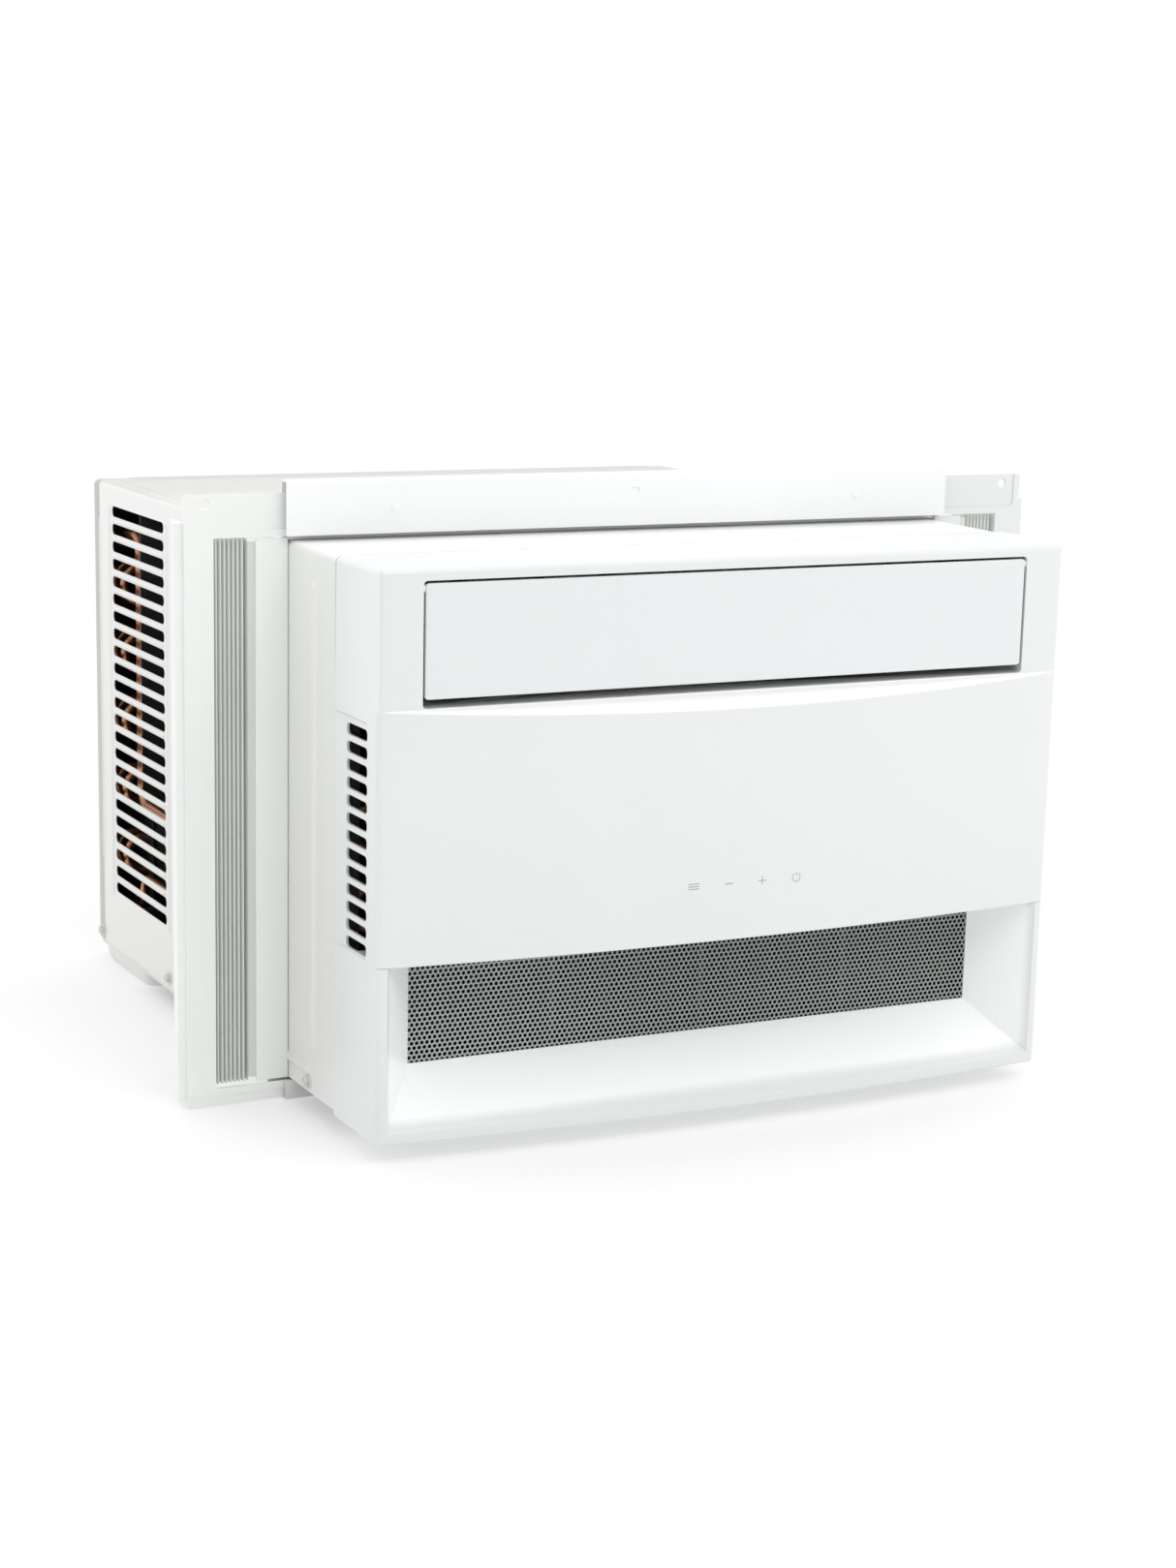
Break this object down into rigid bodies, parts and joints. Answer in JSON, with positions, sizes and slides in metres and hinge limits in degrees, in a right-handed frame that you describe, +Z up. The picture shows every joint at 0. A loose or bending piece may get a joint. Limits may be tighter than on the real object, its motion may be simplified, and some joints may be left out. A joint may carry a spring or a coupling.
{
  "type": "window air conditioner",
  "caption": "Window room air conditioner with a top discharge flap, bowed front panel, lower mesh intake, louvred steel cabinet and sliding accordion side curtains.",
  "frame": {"origin": "middle of the window line on the sill, under the bottom rail", "axes": "+X right seen from the room, +Y outdoors, +Z up"},
  "size_m": [0.627, 0.566, 0.401],
  "materials": {
    "white_plastic": "gloss",
    "panel_gloss": "high gloss",
    "white_steel": "satin powder coat",
    "mesh_grey": "satin",
    "filter_mesh": "woven",
    "galvanised": "satin",
    "fin_aluminium": "satin",
    "copper": "drawn copper",
    "black_steel": "satin",
    "steel_core": "machined",
    "black_rubber": "matt",
    "grey_plastic": "matt",
    "foam_white": "matt",
    "pleat_vinyl": "satin",
    "board_green": "satin",
    "screw_steel": "zinc plated",
    "capacitor_can": "satin"
  },
  "bodies": {
    "chassis": {"front_bezel": "white_plastic", "front_panel": "panel_gloss", "intake_mesh": "mesh_grey", "discharge_duct": "foam_white", "display_board": "board_green", "room_sensor": "grey_plastic", "cabinet_wrapper": "white_steel", "base_pan": "white_steel", "top_rail": "white_steel", "bottom_rail": "white_steel", "rail_screws": "screw_steel", "cabinet_screws": "screw_steel", "curtain_retainer_left": "white_plastic", "curtain_retainer_right": "white_plastic", "cord_gland": "black_rubber", "drain_plug": "black_rubber", "evaporator_fins": "fin_aluminium", "evaporator_tubes": "copper", "drain_tray": "foam_white", "blower_scroll": "foam_white", "bulkhead": "galvanised", "motor_bracket": "galvanised", "motor_can": "black_steel", "motor_stator": "steel_core", "fan_shroud": "galvanised", "condenser_fins": "fin_aluminium", "condenser_tubes": "copper", "compressor_shell": "black_steel", "compressor_core": "steel_core", "compressor_grommets": "black_rubber", "compressor_nuts": "screw_steel", "accumulator": "black_steel", "suction_line": "copper", "discharge_line": "copper", "liquid_line": "copper", "filter_drier": "copper", "control_box": "galvanised", "main_board": "board_green", "run_capacitor": "capacitor_can"},
    "flap": {"discharge_flap": "panel_gloss"},
    "vane_link": {"vane_link": "grey_plastic"},
    "curtain_left": {"curtain_frame_left": "white_plastic", "curtain_pleats_left": "pleat_vinyl"},
    "curtain_right": {"curtain_frame_right": "white_plastic", "curtain_pleats_right": "pleat_vinyl"},
    "air_filter": {"filter_frame": "grey_plastic", "filter_media": "filter_mesh"},
    "rotor": {"motor_shaft": "galvanised", "motor_rotor": "steel_core", "condenser_fan": "grey_plastic", "blower_wheel": "grey_plastic"},
    "vane_1": {"vane_1": "grey_plastic"},
    "vane_2": {"vane_2": "grey_plastic"},
    "vane_3": {"vane_3": "grey_plastic"},
    "vane_4": {"vane_4": "grey_plastic"},
    "vane_5": {"vane_5": "grey_plastic"},
    "vane_6": {"vane_6": "grey_plastic"},
    "vane_7": {"vane_7": "grey_plastic"},
    "vane_8": {"vane_8": "grey_plastic"}
  },
  "joints": [
    {"name": "flap_hinge", "type": "hinge", "parent": "chassis", "child": "flap", "pos_m": [0, -0.1468, 0.3512], "axis": [-1, 0, 0], "range_deg": [0, 70]},
    {"name": "curtain_left_slide", "type": "slide", "parent": "chassis", "child": "curtain_left", "axis": [-1, 0, 0], "range_m": [0, 0.14], "deforming": ["curtain_pleats_left"]},
    {"name": "curtain_right_slide", "type": "slide", "parent": "chassis", "child": "curtain_right", "axis": [1, 0, 0], "range_m": [0, 0.14], "deforming": ["curtain_pleats_right"]},
    {"name": "filter_slide", "type": "slide", "parent": "chassis", "child": "air_filter", "axis": [1, 0, 0], "range_m": [0, 0.42]},
    {"name": "rotor_spin", "type": "hinge", "parent": "chassis", "child": "rotor", "pos_m": [0.045, 0, 0.17], "axis": [0, 1, 0], "continuous": true},
    {"name": "vane_1_pivot", "type": "hinge", "parent": "chassis", "child": "vane_1", "pos_m": [-0.175, -0.122, 0.318], "axis": [0, 0, 1], "range_deg": [-30, 30]},
    {"name": "vane_2_pivot", "type": "hinge", "parent": "chassis", "child": "vane_2", "pos_m": [-0.125, -0.122, 0.318], "axis": [0, 0, 1], "range_deg": [-30, 30]},
    {"name": "vane_3_pivot", "type": "hinge", "parent": "chassis", "child": "vane_3", "pos_m": [-0.075, -0.122, 0.318], "axis": [0, 0, 1], "range_deg": [-30, 30]},
    {"name": "vane_4_pivot", "type": "hinge", "parent": "chassis", "child": "vane_4", "pos_m": [-0.025, -0.122, 0.318], "axis": [0, 0, 1], "range_deg": [-30, 30]},
    {"name": "vane_5_pivot", "type": "hinge", "parent": "chassis", "child": "vane_5", "pos_m": [0.025, -0.122, 0.318], "axis": [0, 0, 1], "range_deg": [-30, 30]},
    {"name": "vane_6_pivot", "type": "hinge", "parent": "chassis", "child": "vane_6", "pos_m": [0.075, -0.122, 0.318], "axis": [0, 0, 1], "range_deg": [-30, 30]},
    {"name": "vane_7_pivot", "type": "hinge", "parent": "chassis", "child": "vane_7", "pos_m": [0.125, -0.122, 0.318], "axis": [0, 0, 1], "range_deg": [-30, 30]},
    {"name": "vane_8_pivot", "type": "hinge", "parent": "chassis", "child": "vane_8", "pos_m": [0.175, -0.122, 0.318], "axis": [0, 0, 1], "range_deg": [-30, 30]},
    {"name": "vane_link_slide", "type": "slide", "parent": "chassis", "child": "vane_link", "axis": [1, 0, 0], "range_m": [-0.0074, 0.0074]}
  ],
  "couplings": [
    {"joint": "vane_2_pivot", "follows": "vane_1_pivot", "ratio": 1},
    {"joint": "vane_3_pivot", "follows": "vane_1_pivot", "ratio": 1},
    {"joint": "vane_4_pivot", "follows": "vane_1_pivot", "ratio": 1},
    {"joint": "vane_5_pivot", "follows": "vane_1_pivot", "ratio": 1},
    {"joint": "vane_6_pivot", "follows": "vane_1_pivot", "ratio": 1},
    {"joint": "vane_7_pivot", "follows": "vane_1_pivot", "ratio": 1},
    {"joint": "vane_8_pivot", "follows": "vane_1_pivot", "ratio": 1},
    {"joint": "vane_link_slide", "follows": "vane_1_pivot", "m_per_rad": -0.014}
  ]
}
